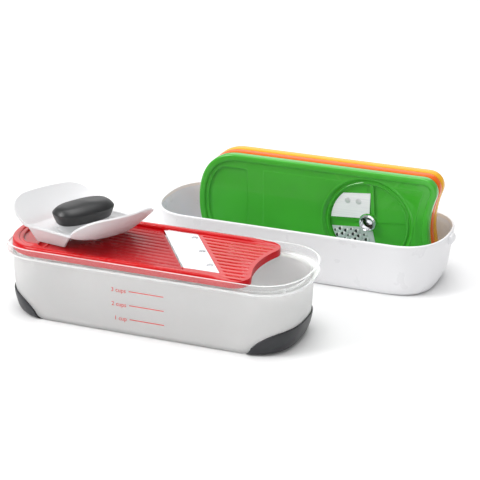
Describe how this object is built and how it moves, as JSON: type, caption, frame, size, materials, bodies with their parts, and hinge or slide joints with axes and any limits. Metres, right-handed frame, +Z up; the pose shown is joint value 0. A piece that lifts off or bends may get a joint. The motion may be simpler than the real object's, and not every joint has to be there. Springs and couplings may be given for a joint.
{
  "type": "mandoline slicer",
  "caption": "Boxed mandoline set: collared storage box with soft grips, slicing plate with slanted blade, winged food holder, and a deep lid storing spiral and grating plates.",
  "frame": {"origin": "middle of the flat underside of the box, on the surface it stands on", "axes": "+X along the box towards the bowed end of the slicing plate, +Y towards the lid behind it, +Z up"},
  "size_m": [0.3447, 0.2569, 0.0977],
  "materials": {
    "frosted_plastic": "frosted, translucent, with a clear collar",
    "soft_grip": "matte",
    "red_plastic": "glossy",
    "blade_steel": "satin",
    "rivet_steel": "satin",
    "holder_plastic": "translucent, slightly frosted",
    "knob_rubber": "satin",
    "white_plastic": "satin",
    "green_plastic": "glossy",
    "tube_chrome": "polished",
    "orange_plastic": "glossy",
    "yellow_plastic": "glossy"
  },
  "bodies": {
    "box": {"container_body": "frosted_plastic", "left_grip": "soft_grip", "right_grip": "soft_grip"},
    "slicer": {"slicer_frame": "red_plastic", "slicer_blade": "blade_steel", "slicer_rivets": "rivet_steel"},
    "holder": {"guard_shell": "holder_plastic", "guard_knob": "knob_rubber", "knob_screws": "rivet_steel", "guard_pins": "holder_plastic"},
    "lid": {"lid_tub": "white_plastic"},
    "spiral_plate": {"spiral_frame": "green_plastic", "spiral_blade": "blade_steel", "spiral_rivets": "rivet_steel", "julienne_plate": "blade_steel", "core_cutter": "tube_chrome"},
    "coarse_plate": {"coarse_frame": "orange_plastic", "coarse_sheet": "blade_steel", "coarse_studs": "rivet_steel"},
    "medium_plate": {"medium_frame": "yellow_plastic", "medium_sheet": "blade_steel", "medium_studs": "rivet_steel"}
  },
  "joints": [
    {"name": "slicer_lift", "type": "slide", "parent": "box", "child": "slicer", "axis": [0, 0, 1], "range_m": [0, 0.12]},
    {"name": "holder_slide", "type": "slide", "parent": "slicer", "child": "holder", "axis": [1, 0, 0], "range_m": [0, 0.13]},
    {"name": "lid_lift", "type": "slide", "parent": "box", "child": "lid", "axis": [0, 0, 1], "range_m": [0, 0.15]},
    {"name": "spiral_lift", "type": "slide", "parent": "lid", "child": "spiral_plate", "axis": [0, 0, 1], "range_m": [0, 0.11]},
    {"name": "coarse_lift", "type": "slide", "parent": "lid", "child": "coarse_plate", "axis": [0, 0, 1], "range_m": [0, 0.11]},
    {"name": "medium_lift", "type": "slide", "parent": "lid", "child": "medium_plate", "axis": [0, 0, 1], "range_m": [0, 0.11]}
  ]
}
